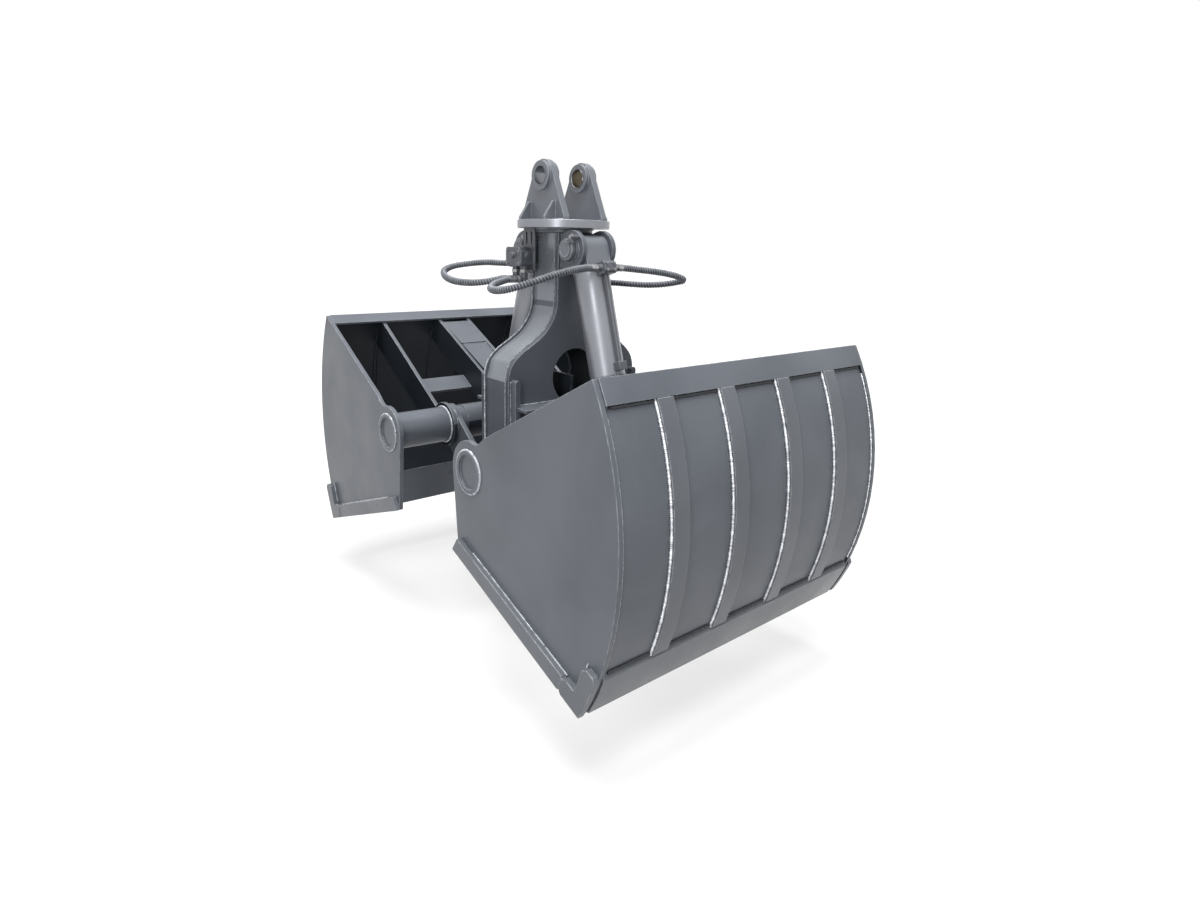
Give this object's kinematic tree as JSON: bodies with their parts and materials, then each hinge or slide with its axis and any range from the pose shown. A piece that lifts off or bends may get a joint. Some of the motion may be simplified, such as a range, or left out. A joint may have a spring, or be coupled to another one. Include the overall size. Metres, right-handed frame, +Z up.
{
  "type": "clamshell bucket",
  "caption": "Hydraulic clamshell bucket for an excavator arm: two curved shells hinged under a box frame, each worked by its own cylinder, shown fully open.",
  "frame": {"origin": "on the ground below the middle of the frame, midway between the two lips and midway across the width", "axes": "+Z up; +X towards the front shell, the direction the shells open; +Y along the hinge axes; the side plates face -Y and +Y"},
  "size_m": [2.0312, 1.2406, 1.551],
  "materials": {
    "graphite_paint": "semi-gloss graphite grey paint",
    "inner_paint": "semi-gloss dark paint inside the shells and the frame",
    "bare_steel": "ground steel, lightly oiled",
    "wear_steel": "grey paint over hard wear steel",
    "hose_cover": "black rubber hose with a spiral guard",
    "dark_fitting": "black painted blocks and fittings"
  },
  "bodies": {
    "frame": {"frame_plate_front": "graphite_paint", "frame_plate_rear": "graphite_paint", "frame_web_left": "graphite_paint", "frame_web_right": "graphite_paint", "frame_diaphragm": "inner_paint", "frame_stiffener_front": "graphite_paint", "frame_stiffener_rear": "graphite_paint", "hinge_plate_left": "graphite_paint", "hinge_plate_right": "graphite_paint", "head_flange": "graphite_paint", "head_ear_left": "graphite_paint", "head_ear_right": "graphite_paint", "front_cylinder_lugs": "graphite_paint", "rear_cylinder_lugs": "graphite_paint", "front_cylinder_pin": "bare_steel", "rear_cylinder_pin": "bare_steel", "valve_block": "dark_fitting", "hose_front": "hose_cover", "hose_rear": "hose_cover", "hose_side": "hose_cover"},
    "front_shell": {"front_side_left": "graphite_paint", "front_side_right": "graphite_paint", "front_back_wall": "graphite_paint", "front_lip": "wear_steel", "front_top_bar": "graphite_paint", "front_band_1": "wear_steel", "front_band_2": "wear_steel", "front_band_3": "wear_steel", "front_band_4": "wear_steel", "front_rib_left": "inner_paint", "front_rib_right": "inner_paint", "front_channel": "inner_paint", "front_torque_tube_left": "graphite_paint", "front_torque_tube_right": "graphite_paint", "front_side_cutter_left": "wear_steel", "front_side_cutter_right": "wear_steel", "front_rod_pin": "bare_steel"},
    "front_barrel": {"front_barrel": "graphite_paint", "front_port_blocks": "dark_fitting"},
    "front_rod": {"front_rod": "bare_steel"},
    "rear_shell": {"rear_side_left": "graphite_paint", "rear_side_right": "graphite_paint", "rear_back_wall": "graphite_paint", "rear_lip": "wear_steel", "rear_top_bar": "graphite_paint", "rear_band_1": "wear_steel", "rear_band_2": "wear_steel", "rear_band_3": "wear_steel", "rear_band_4": "wear_steel", "rear_rib_left": "inner_paint", "rear_rib_right": "inner_paint", "rear_channel": "inner_paint", "rear_torque_tube_left": "graphite_paint", "rear_torque_tube_right": "graphite_paint", "rear_side_cutter_left": "wear_steel", "rear_side_cutter_right": "wear_steel", "rear_rod_pin": "bare_steel"},
    "rear_barrel": {"rear_barrel": "graphite_paint", "rear_port_blocks": "dark_fitting"},
    "rear_rod": {"rear_rod": "bare_steel"}
  },
  "joints": [
    {"name": "front_shell_hinge", "type": "hinge", "parent": "frame", "child": "front_shell", "pos_m": [0.3, 0, 0.5339], "axis": [0, 1, 0], "range_deg": [0, 70]},
    {"name": "front_cylinder_swing", "type": "hinge", "parent": "frame", "child": "front_barrel", "pos_m": [0.145, 0, 1.23], "axis": [0, -1, 0], "range_deg": [0, 6.6]},
    {"name": "front_rod_slide", "type": "slide", "parent": "front_barrel", "child": "front_rod", "axis": [0.282, 0, -0.9594], "range_m": [0, 0.13]},
    {"name": "rear_shell_hinge", "type": "hinge", "parent": "frame", "child": "rear_shell", "pos_m": [-0.3, 0, 0.5339], "axis": [0, -1, 0], "range_deg": [0, 70]},
    {"name": "rear_cylinder_swing", "type": "hinge", "parent": "frame", "child": "rear_barrel", "pos_m": [-0.145, 0, 1.23], "axis": [0, 1, 0], "range_deg": [0, 6.6]},
    {"name": "rear_rod_slide", "type": "slide", "parent": "rear_barrel", "child": "rear_rod", "axis": [-0.282, 0, -0.9594], "range_m": [0, 0.13]}
  ],
  "couplings": [
    {"joint": "front_cylinder_swing", "follows": "front_shell_hinge", "ratio": 0.09215},
    {"joint": "front_rod_slide", "follows": "front_shell_hinge", "m_per_rad": 0.10467},
    {"joint": "rear_cylinder_swing", "follows": "rear_shell_hinge", "ratio": 0.09215},
    {"joint": "rear_rod_slide", "follows": "rear_shell_hinge", "m_per_rad": 0.10467}
  ]
}
